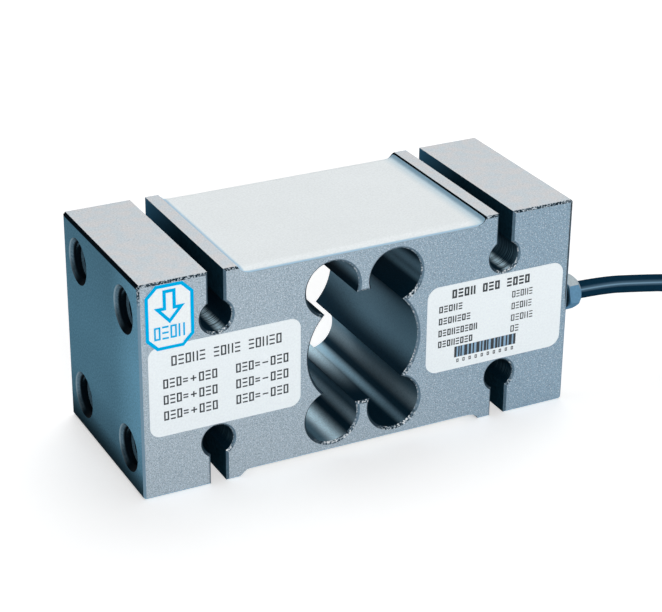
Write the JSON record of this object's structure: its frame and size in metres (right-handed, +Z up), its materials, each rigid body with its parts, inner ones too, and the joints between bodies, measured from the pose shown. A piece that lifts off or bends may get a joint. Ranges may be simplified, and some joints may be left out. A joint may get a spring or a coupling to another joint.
{
  "type": "single point load cell",
  "caption": "Block-shaped aluminium bending-beam load cell with a lobed cut-out, keyhole slots, sealed gauge recesses, tapped end faces and a cable that leaves through a hex gland.",
  "frame": {"origin": "middle of the block's underside, without the cable, its coil and the gland", "axes": "+X along the block from the load end to the cable end, -Y the labelled front, +Z up"},
  "size_m": [0.314, 0.078, 0.072],
  "materials": {
    "aluminium_block": "fine blasted front and back, satin machined top and ends",
    "sealing_compound": "white cast silicone, soft satin",
    "gauge_film": "amber polyimide film with metal foil",
    "terminal_board": "green glass-fibre board",
    "resistor": "dark film resistor",
    "copper_ribbon": "bare copper ribbon",
    "gland_metal": "nickel-plated, satin",
    "seal_rubber": "black rubber",
    "cable_jacket": "dark grey jacket, semi-gloss",
    "tie_nylon": "black nylon",
    "shrink_sleeve": "black shrink tube",
    "tinned_copper": "tinned copper",
    "label_film": "white polyester film",
    "arrow_label_film": "white film with a cyan border",
    "green_insulation": "green insulation",
    "black_insulation": "black insulation",
    "white_insulation": "white insulation",
    "red_insulation": "red insulation",
    "yellow_insulation": "yellow insulation",
    "blue_insulation": "blue insulation"
  },
  "bodies": {
    "root": {"spring_element": "aluminium_block", "upper_compound": "sealing_compound", "lower_compound": "sealing_compound", "upper_load_gauge": "gauge_film", "upper_fixed_gauge": "gauge_film", "lower_load_gauge": "gauge_film", "lower_fixed_gauge": "gauge_film", "terminal_board": "terminal_board", "zero_balance_resistor": "resistor", "span_resistor": "resistor", "upper_bridge_wires": "copper_ribbon", "lower_bridge_wires": "copper_ribbon", "green_core": "green_insulation", "black_core": "black_insulation", "white_core": "white_insulation", "red_core": "red_insulation", "yellow_core": "yellow_insulation", "blue_core": "blue_insulation", "gland_sealing_ring": "seal_rubber", "gland_seal": "seal_rubber", "gland_body": "gland_metal", "gland_nut": "gland_metal", "cable": "cable_jacket", "cable_coil": "cable_jacket", "coil_tie": "tie_nylon", "cable_end_sleeve": "shrink_sleeve", "green_lead": "green_insulation", "black_lead": "black_insulation", "white_lead": "white_insulation", "red_lead": "red_insulation", "yellow_lead": "yellow_insulation", "blue_lead": "blue_insulation", "drain_wire": "tinned_copper", "tinned_tips": "tinned_copper", "wiring_label": "label_film", "rating_label": "label_film", "load_arrow_label": "arrow_label_film"}
  },
  "joints": []
}
